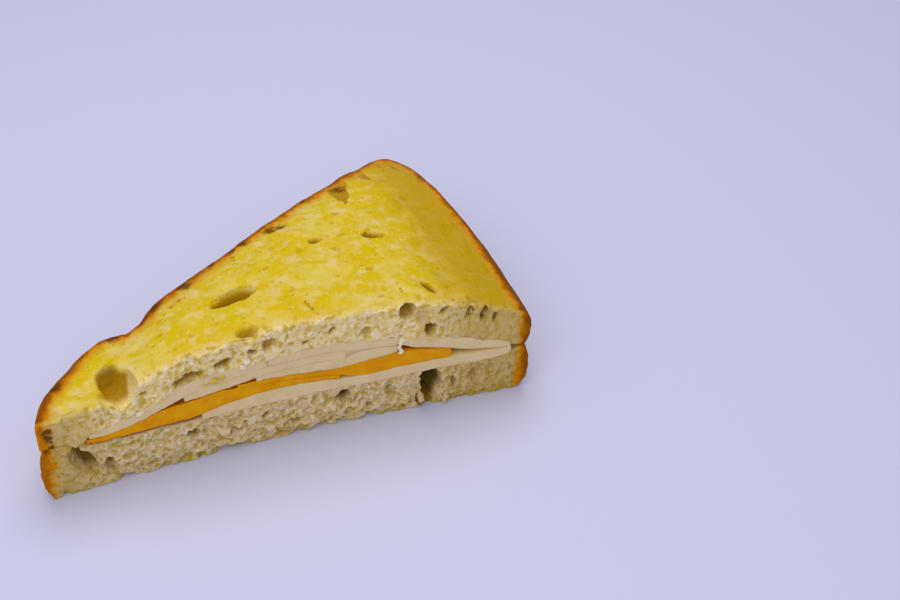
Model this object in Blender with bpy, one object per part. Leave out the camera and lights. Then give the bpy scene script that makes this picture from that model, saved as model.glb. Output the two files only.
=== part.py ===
import math

import bmesh
import bpy
from mathutils import Vector, noise

MM = 0.001
GAP = 0.3 * MM

# The half sandwich lies on its bottom slice. X runs along the cut, from the pointed end
# to the blunt one, Y goes back from the cut to the crust, and Z is up.
CUT_LENGTH = 160 * MM
FULL_HEIGHT = 48 * MM
LOAF_DEPTH = 100 * MM
ORIGIN_X = 80.3 * MM
ORIGIN_Y = 50.9 * MM

# The crust line of the loaf, seen from above, from the pointed end to the back corner.
# The waist is where the loaf rose over the edge of its tin.
CRUST_LINE = [
    (0, 0), (2, 7), (5, 13), (9.5, 19), (14.5, 25), (20, 29.5), (26, 32), (32, 30.5), (36.5, 31),
    (41, 35.5), (47, 40), (56, 45), (70, 54), (87, 65.5), (105, 77.5), (123, 89), (133.5, 96.5),
    (140, 100.5), (146.5, 100.5), (151.5, 95.5), (154, 86),
]
CRUST_SLOPE = math.radians(36)
RIGHT_SIDE_LEAN = 0.078
RIGHT_SIDE_BULGE = 2.5 * MM
CRUST_BULGE = 1.2 * MM
OUTER_ROUND = 2 * MM
INNER_ROUND = 0.7 * MM
CUT_BOW = 2.2 * MM
CUT_UNDERCUT = 1.6 * MM

# How far the top of the sandwich sinks towards its ends and its crust.
POINT_SINK, POINT_REACH = 14 * MM, 35 * MM
CRUST_SINK, CRUST_REACH = 5.5 * MM, 13 * MM
RIGHT_SINK, RIGHT_REACH = 15 * MM, 22 * MM

# Heights along the cut, in millimetres: (distance from the pointed end, height).
TOP_SLICE_UNDERSIDE = [
    (0, 21.8), (12, 22.4), (24, 25), (34, 28.2), (49, 33.8), (62, 34.7), (81, 35.5), (94, 35.7),
    (108, 33.8), (128, 29.8), (142, 26), (152, 23.2), (160, 21.5),
]
BOTTOM_SLICE_TOP = [
    (0, 21), (6, 20.8), (14, 19), (24, 17.9), (40, 17.6), (62, 17.4), (81, 17.2), (108, 16.5),
    (128, 16.6), (142, 16.2), (152, 16.8), (160, 19.5),
]
FILLING_PINCH = 9 * MM

# Each slice of cheese lies between two lines that cross the filling. A line gives the share
# of the filling's height below it, by distance from the pointed end in millimetres.
FILLING_FLOOR = [(0, 0), (160, 0)]
FILLING_ROOF = [(0, 1), (160, 1)]
ORANGE_OVER_WHITE = [
    (50, 0.12), (56, 0.19), (62, 0.25), (81, 0.27), (94, 0.20), (108, 0.20), (114, 0.235),
    (128, 0.29), (139, 0.36), (154, 0.46),
]
ORANGE_UNDERSIDE = [(14, 0.14), (24, 0.17), (34, 0.15), (46, 0.09), (50, 0.13), (56, 0.20), (62, 0.26),
                    (81, 0.28), (95, 0.21)]
ORANGE_LEFT_TOP = [(14, 0.56), (24, 0.52), (34, 0.62), (49, 0.52), (58, 0.55), (64, 0.49), (81, 0.39),
                   (95, 0.28)]
ORANGE_RIGHT_UNDERSIDE = [(62, 0.50), (66, 0.48), (81, 0.40), (95, 0.29), (99, 0.21), (108, 0.21),
                          (114, 0.245), (128, 0.30), (133, 0.33)]
ORANGE_RIGHT_TOP = [(62, 0.58), (67, 0.57), (81, 0.52), (94, 0.455), (108, 0.57), (114, 0.62),
                    (128, 0.61), (133, 0.59)]
WHITE_LEFT_UNDERSIDE = [(15, 0.58), (24, 0.54), (34, 0.65), (42, 0.70), (49, 0.74), (62, 0.78), (71, 0.84)]
WHITE_INNER_UNDERSIDE = [(45, 0.60), (49, 0.55), (62, 0.62), (68, 0.67), (81, 0.69), (95, 0.66)]
WHITE_INNER_TOP = [(45, 0.70), (49, 0.73), (62, 0.77), (70, 0.83), (81, 0.83), (95, 0.80)]
WHITE_MIDDLE_UNDERSIDE = [(68, 0.58), (81, 0.535), (94, 0.47), (108, 0.58), (114, 0.66)]
WHITE_MIDDLE_TOP = [(68, 0.66), (81, 0.68), (94, 0.65), (98, 0.70), (108, 0.79), (114, 0.80)]
WHITE_RIGHT_UNDERSIDE = [(71, 0.87), (81, 0.845), (94, 0.82), (108, 0.81), (115, 0.82), (121, 0.72),
                         (128, 0.67), (142, 0.56), (154, 0.48)]

# name: (near end, far end, underside, top, cut edge ahead of the bread, edge inset from the crust)
CHEESE = {
    "cheese_white_lower": (50, 154, FILLING_FLOOR, ORANGE_OVER_WHITE, 0.4, 6),
    "cheese_orange_left": (14, 95, ORANGE_UNDERSIDE, ORANGE_LEFT_TOP, 0.9, 8),
    "cheese_orange_right": (62, 133, ORANGE_RIGHT_UNDERSIDE, ORANGE_RIGHT_TOP, 1.0, 9),
    "cheese_white_left": (15, 71, WHITE_LEFT_UNDERSIDE, FILLING_ROOF, 0.5, 7),
    "cheese_white_inner": (45, 95, WHITE_INNER_UNDERSIDE, WHITE_INNER_TOP, 0.7, 8),
    "cheese_white_middle": (68, 114, WHITE_MIDDLE_UNDERSIDE, WHITE_MIDDLE_TOP, 0.8, 9),
    "cheese_white_right": (71.6, 154, WHITE_RIGHT_UNDERSIDE, FILLING_ROOF, 0.5, 7),
}
CHEESE_SIDE_LEAN = 0.08

# Holes of the crumb: the middle (x, y, z) and the half widths, in millimetres, then the turns
# about Y and Z, in degrees.
TOP_SLICE_HOLES = [
    ((25, 4, 37.5), (6.5, 9.5, 6.2), (0, 15)),
    ((66.4, 23.3, 46.8), (9, 3.4, 3.4), (0, 14)),
    ((119.3, 41.3, 46.6), (4.4, 1.9, 1.8), (0, -17)),
    ((127.7, 9.8, 45.6), (4.2, 1.6, 2), (0, -68)),
    ((99.4, 43.1, 47.8), (2.6, 1.6, 1.7), (0, 10)),
    ((66.5, 4.5, 47.2), (4.4, 2.6, 2.2), (0, 5)),
    ((118, -0.5, 43.6), (2.9, 4.2, 4), (0, 0)),
    ((125.7, 0, 34.4), (2.4, 3, 2.5), (25, 0)),
    ((138.5, 0, 37.4), (1.4, 2.6, 3), (15, 0)),
    ((143.6, 0, 36.4), (1.3, 2.6, 3.2), (20, 0)),
    ((46.5, 0, 35.4), (4.2, 2.8, 1.7), (-15, 0)),
    ((57.8, 0, 38.2), (2.5, 2.6, 1.6), (0, 0)),
    ((72.7, 0, 41), (2.3, 2.6, 2.1), (0, 0)),
]
BOTTOM_SLICE_HOLES = [
    ((12.2, 0, 12.4), (7.6, 4, 3), (61, 0)),
    ((20, 0, 8), (3.2, 2.8, 2.2), (75, 0)),
    ((46.5, 0, 12.6), (2, 2.4, 1.7), (0, 0)),
    ((96.3, 0, 13), (2.1, 3.2, 3.1), (0, 0)),
    ((125.5, -1, 11.4), (4.4, 6.5, 6.5), (0, 0)),
    ((124.8, -1, 3.4), (3.2, 4.6, 5), (0, 0)),
]
HOLE_ROUNDS = 2


def through(points):
    # A smooth curve through the points, read by its first coordinate.
    firsts = [point[0] * MM for point in points]
    seconds = [point[1] for point in points]
    last = len(points) - 1

    def slope(index):
        low, high = max(index - 1, 0), min(index + 1, last)
        return (seconds[high] - seconds[low]) / (firsts[high] - firsts[low])

    def read(place):
        place = min(max(place, firsts[0]), firsts[-1])
        index = next((i for i in range(last) if place <= firsts[i + 1]), last - 1)
        width = firsts[index + 1] - firsts[index]
        step = (place - firsts[index]) / width
        start = seconds[index] + slope(index) * step * width
        end = seconds[index + 1] - slope(index + 1) * (1 - step) * width
        ease = step * step * (3 - 2 * step)
        return start * (1 - ease) + end * ease

    return read


def along(points):
    # The same for a line that turns back, read by the share of its length.
    reach = [0]
    for first, second in zip(points, points[1:]):
        reach.append(reach[-1] + math.dist(first, second))
    shares = [length / reach[-1] / MM for length in reach]
    across = through([(share, point[0]) for share, point in zip(shares, points)])
    back = through([(share, point[1]) for share, point in zip(shares, points)])
    return lambda share: Vector((across(share) * MM, back(share) * MM))


crust_point = along(CRUST_LINE)
crust_depth = through([point for point in CRUST_LINE if point[0] < 147] + [(165, 98)])
underside_of_top = through(TOP_SLICE_UNDERSIDE)
top_of_bottom = through(BOTTOM_SLICE_TOP)


def crust_distance(x, y):
    return max((crust_depth(x) * MM - y) * math.cos(CRUST_SLOPE), 0)


def right_distance(x, y):
    return max(CUT_LENGTH - RIGHT_SIDE_LEAN * y - x, 0)


def near_crust(x, y):
    return math.exp(-((crust_distance(x, y) / CRUST_REACH) ** 2))


def top_height(x, y):
    pointed = 1 / (1 + (max(x, 0) / POINT_REACH) ** 4)
    crust = CRUST_SINK * near_crust(x, y) * (1 - 0.7 * pointed)
    right = RIGHT_SINK * math.exp(-((right_distance(x, y) / RIGHT_REACH) ** 1.3))
    return FULL_HEIGHT - POINT_SINK * pointed - crust - right * (1 - 0.5 * y / LOAF_DEPTH)


def filling(x, y):
    # The heights of the filling's floor and roof. Both slices close on it at the crust.
    floor, roof = top_of_bottom(x) * MM, underside_of_top(x) * MM
    pinch = near_crust(x, y) * min(FILLING_PINCH, 0.45 * (roof - floor))
    return floor + pinch * 0.35, roof - pinch * 0.65


def uneven(x, y, z, size, depth):
    return depth * noise.noise(Vector((x, y, z)) / size)


def cut_front(x, z):
    # The knife's cut bows in between its ends and is torn back a little at the underside.
    share = min(max(x / CUT_LENGTH, 0), 1)
    bow = CUT_BOW * math.sin(math.pi * share) ** 1.5
    undercut = CUT_UNDERCUT * math.exp(-((z / (4 * MM)) ** 2)) * math.sin(math.pi * share) ** 0.5
    return bow + undercut


def bread_plan(u, v, t, z, outer, point_bulge):
    # A place in a slice of bread: u along the cut, v from the cut to the crust, t up through it.
    # The crust is rounded more on the outer face, at t = outer, than where the slices meet.
    middle = 1 - (2 * t - 1) ** 2
    corner = OUTER_ROUND if abs(t - outer) < 0.5 else INNER_ROUND
    inset = corner * (1 - middle) ** 2 - CRUST_BULGE * middle
    inset *= min(point_bulge + 8 * u, 1)
    front_x = inset * point_bulge * (1 - u) + u * (CUT_LENGTH - inset)
    front = Vector((front_x, cut_front(front_x, z)))
    edge = crust_point(u)
    ahead = crust_point(min(u + 0.01, 1)) - crust_point(max(u - 0.01, 0))
    outward = Vector((-ahead.y, ahead.x)).normalized()
    place = front.lerp(edge - outward * inset, v)
    place.x += RIGHT_SIDE_BULGE * 4 * v * (1 - v) * u ** 6
    return place


def bread_top_place(u, v, t):
    place = bread_plan(u, v, t, top_height(u * CUT_LENGTH, 0), 1, 0.15)
    roof = filling(place.x, place.y)[1] + GAP / 2
    high = top_height(place.x, place.y)
    high += uneven(place.x, place.y, 0, 14 * MM, 0.8 * MM) + uneven(place.x, place.y, 3, 5 * MM, 0.5 * MM)
    z = roof + (high - roof) * t
    if v == 0:
        place.y += uneven(place.x, 0, z, 5 * MM, 1.2 * MM)
    if v == 1:
        place.y += uneven(place.x, 7, z, 9 * MM, 0.8 * MM)
    return place.x, place.y, z


def bread_bottom_place(u, v, t):
    z = t * top_of_bottom(u * CUT_LENGTH) * MM
    place = bread_plan(u, v, t, z, 0, 0.9)
    z = t * (filling(place.x, place.y)[0] - GAP / 2)
    if v == 0:
        place.y += uneven(place.x, 2, z, 5 * MM, 1.2 * MM)
    if v == 1:
        place.y += uneven(place.x, 9, z, 9 * MM, 0.8 * MM)
    return place.x, place.y, z


def cheese_place(u, v, t, plan):
    near, far, under, over, ahead, inset = plan
    share_x = (near + (far - near) * u) * MM
    x, y = share_x, 0
    for _ in range(6):
        y = max(crust_depth(x) * MM - inset * MM / math.cos(CRUST_SLOPE), 2 * MM)
        x = share_x - CHEESE_SIDE_LEAN * y
    middle = 1 - (2 * t - 1) ** 2
    front = cut_front(share_x, 20 * MM) - ahead * MM * (0.4 + 0.6 * middle)
    front += uneven(share_x, near * MM, t * 3 * MM, 9 * MM, 0.5 * MM)
    y = front + (y - front) * v
    x = share_x - CHEESE_SIDE_LEAN * y
    floor, roof = filling(x, y)
    low = floor + (roof - floor) * through(under)(share_x) + GAP / 2
    high = floor + (roof - floor) * through(over)(share_x) - GAP / 2
    return x, y, low + (high - low) * t


def block(name, cells, place, collection):
    # A box of cells, with each corner moved to its place in the shape.
    across, deep, high = cells
    bm = bmesh.new()
    bmesh.ops.create_grid(bm, x_segments=across, y_segments=deep, size=0.5)
    bmesh.ops.translate(bm, verts=bm.verts, vec=(0.5, 0.5, 0))
    top = bm.faces[:]
    for level in range(high):
        made = bmesh.ops.extrude_face_region(bm, geom=top)["geom"]
        risen = [item for item in made if isinstance(item, bmesh.types.BMVert)]
        bmesh.ops.translate(bm, verts=risen, vec=(0, 0, 1 / high))
        if level > 0:
            bmesh.ops.delete(bm, geom=top, context="FACES")
        top = [item for item in made if isinstance(item, bmesh.types.BMFace)]
    for vert in bm.verts:
        u, v, t = (round(value, 5) for value in vert.co)
        x, y, z = place(u, v, t)
        vert.co = (x - ORIGIN_X, y - ORIGIN_Y, z)
    bmesh.ops.recalc_face_normals(bm, faces=bm.faces)
    bmesh.ops.triangulate(bm, faces=bm.faces)
    mesh = bpy.data.meshes.new(name)
    bm.to_mesh(mesh)
    bm.free()
    item = bpy.data.objects.new(name, mesh)
    collection.objects.link(item)
    return item


def cut_holes(item, holes):
    # Bubbles of the crumb that are large enough to put a finger tip or a match head in.
    cutters = bpy.data.collections.new(item.name + "_cutters")
    bpy.context.scene.collection.children.link(cutters)
    for index, (middle, halves, turns) in enumerate(holes):
        bm = bmesh.new()
        bmesh.ops.create_icosphere(bm, subdivisions=HOLE_ROUNDS, radius=1)
        bmesh.ops.scale(bm, verts=bm.verts, vec=[half * MM for half in halves])
        for vert in bm.verts:
            vert.co *= 1 + 0.12 * noise.noise(vert.co * 300 + Vector((index, 0, 0)))
        mesh = bpy.data.meshes.new(f"{item.name}_hole_{index}")
        bm.to_mesh(mesh)
        bm.free()
        cutter = bpy.data.objects.new(mesh.name, mesh)
        cutter.location = (middle[0] * MM - ORIGIN_X, middle[1] * MM - ORIGIN_Y, middle[2] * MM)
        cutter.rotation_euler = (0, math.radians(turns[0]), math.radians(turns[1]))
        cutter.hide_render = True
        cutter.display_type = "WIRE"
        cutters.objects.link(cutter)
        cut = item.modifiers.new(cutter.name, "BOOLEAN")
        cut.operation = "DIFFERENCE"
        cut.object = cutter


def finish(item, color, roughness):
    material = bpy.data.materials.new(item.name)
    material.use_nodes = True
    shader = material.node_tree.nodes["Principled BSDF"]
    shader.inputs["Base Color"].default_value = (*color, 1)
    shader.inputs["Roughness"].default_value = roughness
    shader.inputs["Metallic"].default_value = 0
    item.data.materials.append(material)


def main():
    for item in list(bpy.data.objects):
        bpy.data.objects.remove(item, do_unlink=True)
    sandwich = bpy.data.collections.new("cheese_sandwich_half")
    bpy.context.scene.collection.children.link(sandwich)

    bread_top = block("bread_top", (44, 14, 4), bread_top_place, sandwich)
    cut_holes(bread_top, TOP_SLICE_HOLES)
    finish(bread_top, (0.78, 0.58, 0.16), 0.7)

    bread_bottom = block("bread_bottom", (44, 14, 4), bread_bottom_place, sandwich)
    cut_holes(bread_bottom, BOTTOM_SLICE_HOLES)
    finish(bread_bottom, (0.72, 0.6, 0.38), 0.8)

    for name, plan in CHEESE.items():
        across = max(round((plan[1] - plan[0]) / 5.5), 8)
        slice_place = lambda u, v, t, plan=plan: cheese_place(u, v, t, plan)
        cheese = block(name, (across, 6, 2), slice_place, sandwich)
        if "orange" in name:
            finish(cheese, (0.85, 0.33, 0.02), 0.4)
        else:
            finish(cheese, (0.78, 0.7, 0.5), 0.45)


main()
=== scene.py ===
import math
import random

import bmesh
import bpy
import numpy as np
from mathutils import Matrix, Vector, bvhtree, noise


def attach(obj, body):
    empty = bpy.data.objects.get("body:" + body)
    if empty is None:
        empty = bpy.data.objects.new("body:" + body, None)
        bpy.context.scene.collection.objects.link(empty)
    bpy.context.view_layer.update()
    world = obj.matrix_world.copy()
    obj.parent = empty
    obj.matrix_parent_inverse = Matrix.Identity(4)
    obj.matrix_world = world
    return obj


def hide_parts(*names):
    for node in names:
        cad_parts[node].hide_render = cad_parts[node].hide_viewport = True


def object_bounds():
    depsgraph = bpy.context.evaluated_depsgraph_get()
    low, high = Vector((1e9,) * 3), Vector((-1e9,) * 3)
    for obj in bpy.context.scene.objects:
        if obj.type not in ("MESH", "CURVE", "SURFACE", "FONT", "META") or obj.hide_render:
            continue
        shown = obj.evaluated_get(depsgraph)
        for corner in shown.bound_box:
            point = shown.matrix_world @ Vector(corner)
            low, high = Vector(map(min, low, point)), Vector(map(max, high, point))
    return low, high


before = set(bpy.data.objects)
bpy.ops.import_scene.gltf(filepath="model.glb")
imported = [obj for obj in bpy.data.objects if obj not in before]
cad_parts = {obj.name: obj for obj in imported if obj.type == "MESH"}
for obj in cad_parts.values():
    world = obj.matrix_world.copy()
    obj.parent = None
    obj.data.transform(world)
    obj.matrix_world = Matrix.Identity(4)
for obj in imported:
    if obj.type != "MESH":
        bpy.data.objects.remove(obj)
cadLow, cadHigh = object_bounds()
mm = 0.001
bpy.context.scene.view_settings.view_transform = "Standard"


# helpers for node trees

def addNode(tree, kind, values=None, links=None):
    made = tree.nodes.new("ShaderNode" + kind)
    for name, value in (values or {}).items():
        if isinstance(name, int) or name in made.inputs:
            made.inputs[name].default_value = value
        else:
            setattr(made, name, value)
    for name, source in (links or {}).items():
        tree.links.new(source, made.inputs[name])
    return made


def newMaterial(name):
    material = bpy.data.materials.new(name)
    material.use_nodes = True
    tree = material.node_tree
    return material, tree, tree.nodes["Principled BSDF"]


def rgb(color):
    return (*color, 1)


def mixColor(tree, share, first, second):
    made = addNode(tree, "Mix", {"data_type": "RGBA"})
    for socket, value in ((0, share), (6, first), (7, second)):
        if isinstance(value, bpy.types.NodeSocket):
            tree.links.new(value, made.inputs[socket])
        elif socket:
            made.inputs[socket].default_value = rgb(value)
        else:
            made.inputs[socket].default_value = value
    return made.outputs[2]


def mathNode(tree, operation, first, second=None):
    made = addNode(tree, "Math", {"operation": operation})
    for index, value in enumerate((first, second)):
        if isinstance(value, bpy.types.NodeSocket):
            tree.links.new(value, made.inputs[index])
        elif value is not None:
            made.inputs[index].default_value = value
    return made.outputs[0]


def vectorNode(tree, operation, values, links):
    return addNode(tree, "VectorMath", {"operation": operation, **values}, links).outputs[0]


def spread(tree, source, low, high, first=0.0, second=1.0):
    # turns a field that goes from low to high into one that goes softly from first to second
    made = addNode(tree, "MapRange", {"interpolation_type": "SMOOTHSTEP", "From Min": low, "From Max": high,
                                      "To Min": first, "To Max": second}, {"Value": source})
    return made.outputs["Result"]


def layered(tree, color, layers):
    # lays colors over the first one: each grows as its field goes from low to high, up to its own most
    for field, low, high, most, laid in layers:
        color = mixColor(tree, spread(tree, field, low, high, 0, most), color, laid)
    return color


def attribute(tree, name):
    return addNode(tree, "Attribute", {"attribute_name": name}).outputs["Fac"]


def objectNoise(tree, sizeMm, detail=3.0, rough=0.5, stretch=(1, 1, 1), distortion=0.0, output="Fac"):
    # a noise whose spots are about sizeMm across, fixed to the piece
    coordinates = addNode(tree, "TexCoord").outputs["Object"]
    mapped = addNode(tree, "Mapping", {"Scale": stretch}, {"Vector": coordinates}).outputs["Vector"]
    made = addNode(tree, "TexNoise", {"Scale": 1 / (sizeMm * mm), "Detail": detail, "Roughness": rough,
                                      "Distortion": distortion}, {"Vector": mapped})
    return made.outputs[output]


def objectCells(tree, sizeMm, warpMm):
    # round cells about sizeMm across with uneven walls: 0 in a cell's middle, near 1 on its walls
    coordinates = addNode(tree, "TexCoord").outputs["Object"]
    stir = objectNoise(tree, sizeMm * 1.7, 2, output="Color")
    centred = vectorNode(tree, "SUBTRACT", {1: (0.5, 0.5, 0.5)}, {0: stir})
    moved = vectorNode(tree, "SCALE", {"Scale": warpMm * mm}, {0: centred})
    warped = vectorNode(tree, "ADD", {}, {0: coordinates, 1: moved})
    made = addNode(tree, "TexVoronoi", {"Scale": 1 / (sizeMm * mm)}, {"Vector": warped})
    return spread(tree, made.outputs["Distance"], 0.15, 0.75)


def addBump(tree, shader, height, strength, distanceMm, before=None):
    made = addNode(tree, "Bump", {"Strength": strength, "Distance": distanceMm * mm}, {"Height": height})
    if before:
        tree.links.new(before, made.inputs["Normal"])
    tree.links.new(made.outputs["Normal"], shader.inputs["Normal"])
    return made.outputs["Normal"]


# helpers for meshes

def smoothStep(values, low, high):
    share = np.clip((values - low) / (high - low), 0, 1)
    return share * share * (3 - 2 * share)


def joinedSolid(nodeName):
    # the node's own mesh, with the points joined that lie on one another
    bm = bmesh.new()
    bm.from_mesh(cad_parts[nodeName].data)
    bmesh.ops.remove_doubles(bm, verts=bm.verts, dist=0.005 * mm)
    return bm


def newPiece(name, bm):
    mesh = bpy.data.meshes.new(name)
    bm.to_mesh(mesh)
    bm.free()
    piece = bpy.data.objects.new(name, mesh)
    bpy.context.scene.collection.objects.link(piece)
    return piece


def fineCopy(nodeName, pieceName, voxelMm):
    # the solid's own form, with small even faces that relief can be pressed into
    piece = newPiece(pieceName, joinedSolid(nodeName))
    remesh = piece.modifiers.new("evenFaces", "REMESH")
    remesh.mode = "VOXEL"
    remesh.voxel_size = voxelMm * mm
    graph = bpy.context.evaluated_depsgraph_get()
    fine = bpy.data.meshes.new_from_object(piece.evaluated_get(graph))
    piece.modifiers.clear()
    piece.data = fine
    return piece


def refineCut(piece, depthMm):
    # splits the faces that look out of the cut, down to the given depth
    lastY = cadLow.y + depthMm * mm
    bm = bmesh.new()
    bm.from_mesh(piece.data)
    bm.normal_update()
    chosen = set()
    for face in bm.faces:
        if face.normal.y < -0.35 and face.calc_center_median().y < lastY:
            chosen.update(face.edges)
    ordered = sorted(chosen, key=lambda edge: edge.index)
    bmesh.ops.subdivide_edges(bm, edges=ordered, cuts=1, use_grid_fill=True)
    bm.to_mesh(piece.data)
    bm.free()


def readMesh(mesh):
    count = len(mesh.vertices)
    places = np.empty(count * 3)
    mesh.vertices.foreach_get("co", places)
    normals = np.empty(count * 3)
    mesh.vertex_normals.foreach_get("vector", normals)
    return places.reshape(-1, 3), normals.reshape(-1, 3)


def writePlaces(mesh, places):
    mesh.vertices.foreach_set("co", places.ravel())
    mesh.update()


def writeAttribute(mesh, name, values):
    made = mesh.attributes.new(name, "FLOAT", "POINT")
    made.data.foreach_set("value", np.clip(values, 0, 1).astype(np.float32))


def noiseAt(places, sizeMm, seed, octaves=3):
    scale = 1 / (sizeMm * mm)
    shift = Vector((seed * 7.31, seed * 3.17, seed * 5.83))
    return np.array([noise.fractal(Vector(place) * scale + shift, 1.0, 2.0, octaves) for place in places])


def readMap(field, pitch, across, along):
    # bilinear look-up in a height map, with both distances from the map's corner
    columns = np.clip(across / pitch, 0, field.shape[1] - 1.001)
    rows = np.clip(along / pitch, 0, field.shape[0] - 1.001)
    column, row = columns.astype(int), rows.astype(int)
    right, up = columns - column, rows - row
    below = field[row, column] * (1 - right) + field[row, column + 1] * right
    above = field[row + 1, column] * (1 - right) + field[row + 1, column + 1] * right
    return below * (1 - up) + above * up


def pressBubble(field, pitch, middleX, middleZ, halfX, halfZ, turn, depth, flat=0.0):
    # one bowl of the given half widths, all in mm, turned in the plane of the map; flat lowers its floor
    reach = max(halfX, halfZ)
    left, right = int(max(middleX - reach, 0) / pitch), int((middleX + reach) / pitch) + 2
    low, high = int(max(middleZ - reach, 0) / pitch), int((middleZ + reach) / pitch) + 2
    window = field[low:high, left:right]
    if not window.size:
        return
    rows, columns = np.indices(window.shape)
    aside = (columns + left) * pitch - middleX
    upward = (rows + low) * pitch - middleZ
    turnedX = (aside * math.cos(turn) + upward * math.sin(turn)) / halfX
    turnedZ = (upward * math.cos(turn) - aside * math.sin(turn)) / halfZ
    inside = 1 - turnedX ** 2 - turnedZ ** 2
    bowl = np.where(inside > 0, np.sqrt(np.maximum(inside, 0)) * depth - flat, 0)
    np.maximum(window, bowl, out=window)


def bubbleMap(width, height, pitch, settings, seed):
    # the depth of a cut through foam, in mm: each bubble leaves a bowl, and bowls meet in thin rims
    draw = np.random.default_rng(seed)
    field = np.zeros((int(height / pitch) + 2, int(width / pitch) + 2))
    for _ in range(int(width * height * settings["bubblesPerSquareMm"])):
        middleX, middleZ = draw.uniform(0, width), draw.uniform(0, height)
        size = settings["smallestMm"] * (1 - draw.uniform(0, 0.995)) ** (-1 / settings["sizeFall"])
        radius = min(size, settings["largestMm"])
        dense = settings["closer"](middleX) if "closer" in settings else 0
        radius *= 1 - 0.55 * dense
        upright = smoothStep(middleX, *settings["uprightBetweenMm"])
        stretch = 1 + draw.uniform(0, 0.45) + 0.55 * upright
        turn = draw.uniform(0, math.pi) * (1 - upright) + upright * (math.pi / 2 + draw.normal(0, 0.3))
        flat = draw.uniform(-0.3, 0.5) * radius
        pressBubble(field, pitch, middleX, middleZ, radius * stretch, radius / stretch ** 0.5, turn, radius,
                    flat)
    return np.minimum(field, settings["deepestMm"])


def blurred(field, reach):
    # the mean of each square of the map, reach cells to each side
    size = 2 * reach + 1
    for _ in range(2):
        padded = np.pad(field, ((reach + 1, reach), (0, 0)), mode="edge").cumsum(axis=0)
        field = ((padded[size:] - padded[:-size]) / size).T
    return field


def meshTree(mesh):
    return bvhtree.BVHTree.FromPolygons([vertex.co for vertex in mesh.vertices],
                                        [tuple(polygon.vertices) for polygon in mesh.polygons])


def roomBelow(place, trees, most):
    # how far it is straight down to the nearest of the meshes, but never more than the last value
    found = [tree.ray_cast(place, Vector((0, 0, -1)))[3] for tree in trees]
    return min([distance for distance in found if distance] + [most])


def occlusion(mesh, places, normals, chosen, reachMm, rays):
    # how closed in each chosen point is, from 0 in the open to 1 deep in a hole
    tree = meshTree(mesh)
    goldenAngle = 2.399963
    draw = random.Random(5)
    fan = []
    for index in range(rays):
        height = 1 - 0.75 * (index + 0.5) / rays
        turn = index * goldenAngle + draw.uniform(-0.2, 0.2)
        side = math.sqrt(1 - height * height)
        fan.append(Vector((side * math.cos(turn), side * math.sin(turn), height)))
    closed = np.zeros(len(places))
    reach = reachMm * mm
    for index in np.nonzero(chosen)[0]:
        outward = Vector(normals[index])
        start = Vector(places[index]) + outward * 0.05 * mm
        turned = outward.to_track_quat("Z", "Y").to_matrix()
        total = 0
        for direction in fan:
            distance = tree.ray_cast(start, turned @ direction, reach)[3]
            if distance is not None:
                total += 1 - distance / reach
        closed[index] = total / rays
    return closed


# the loaf's outline in plan and the height of its top, in mm from the cut's pointed end

loaf = {
    "originX": 80.3, "originY": 50.9,
    "crustLine": [(0, 0), (2, 7), (5, 13), (9.5, 19), (14.5, 25), (20, 29.5), (26, 32), (32, 30.5),
                  (36.5, 31), (41, 35.5), (47, 40), (56, 45), (70, 54), (87, 65.5), (105, 77.5), (123, 89),
                  (133.5, 96.5), (140, 100.5), (146.5, 100.5), (151.5, 95.5), (154, 86)],
    "rightSide": [(157.5, 64), (159.6, 43), (160.3, 21), (160, 0)],
    "slope": 36.0, "rightLean": 0.078, "cutLength": 160.0, "cutBow": 2.2,
    "fullHeight": 48.0, "pointSink": 14.0, "pointReach": 35.0, "crustSink": 5.5, "crustReach": 13.0,
    "rightSink": 15.0, "rightReach": 22.0,
    "backPoints": 18, "backEnd": (165, 98),
}


def inLoaf(places):
    return (places / mm) + np.array([loaf["originX"], loaf["originY"], 0])


def crustGap(x, y):
    # how far a place is from the crust line
    line = np.array(loaf["crustLine"] + loaf["rightSide"], float)
    nearest = np.full(len(x), 1e3)
    for (startX, startY), (endX, endY) in zip(line, line[1:]):
        stepX, stepY = endX - startX, endY - startY
        share = np.clip(((x - startX) * stepX + (y - startY) * stepY) / (stepX ** 2 + stepY ** 2), 0, 1)
        nearest = np.minimum(nearest, np.hypot(x - startX - share * stepX, y - startY - share * stepY))
    return nearest


def cutFront(x):
    # how far the cut bows back at each place along it
    share = np.clip(x / loaf["cutLength"], 0, 1)
    return loaf["cutBow"] * np.sin(math.pi * share) ** 1.5


def loafTop(x, y):
    # the height of the toasted face: lower at the pointed end, at the crust and at the blunt end
    line = np.array(loaf["crustLine"][:loaf["backPoints"]] + [loaf["backEnd"]], float)
    pointed = 1 / (1 + (np.maximum(x, 0) / loaf["pointReach"]) ** 4)
    slope = math.cos(math.radians(loaf["slope"]))
    behind = np.maximum((np.interp(x, line[:, 0], line[:, 1]) - y) * slope, 0)
    crust = loaf["crustSink"] * np.exp(-((behind / loaf["crustReach"]) ** 2)) * (1 - 0.7 * pointed)
    aside = np.maximum(loaf["cutLength"] - loaf["rightLean"] * y - x, 0)
    right = loaf["rightSink"] * np.exp(-((aside / loaf["rightReach"]) ** 1.3))
    waves = [0.8 * noise.noise(Vector((a, b, 0)) / 14) + 0.5 * noise.noise(Vector((a, b, 3000)) / 5)
             for a, b in zip(x, y)]
    return loaf["fullHeight"] - loaf["pointSink"] * pointed - crust - right * (1 - 0.005 * y) + waves


def edgeHeight(x, z, chosen):
    # the height of the edge over the cut, from the chosen points, once for each millimetre of x
    slots = int(loaf["cutLength"]) + 2
    steps = np.clip(np.round(x[chosen]), 0, slots - 1).astype(int)
    total, count = np.bincount(steps, z[chosen], slots), np.bincount(steps, minlength=slots)
    known = np.nonzero(count)[0]
    return np.interp(x, known, total[known] / count[known])


# camera, lights and floor

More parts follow.
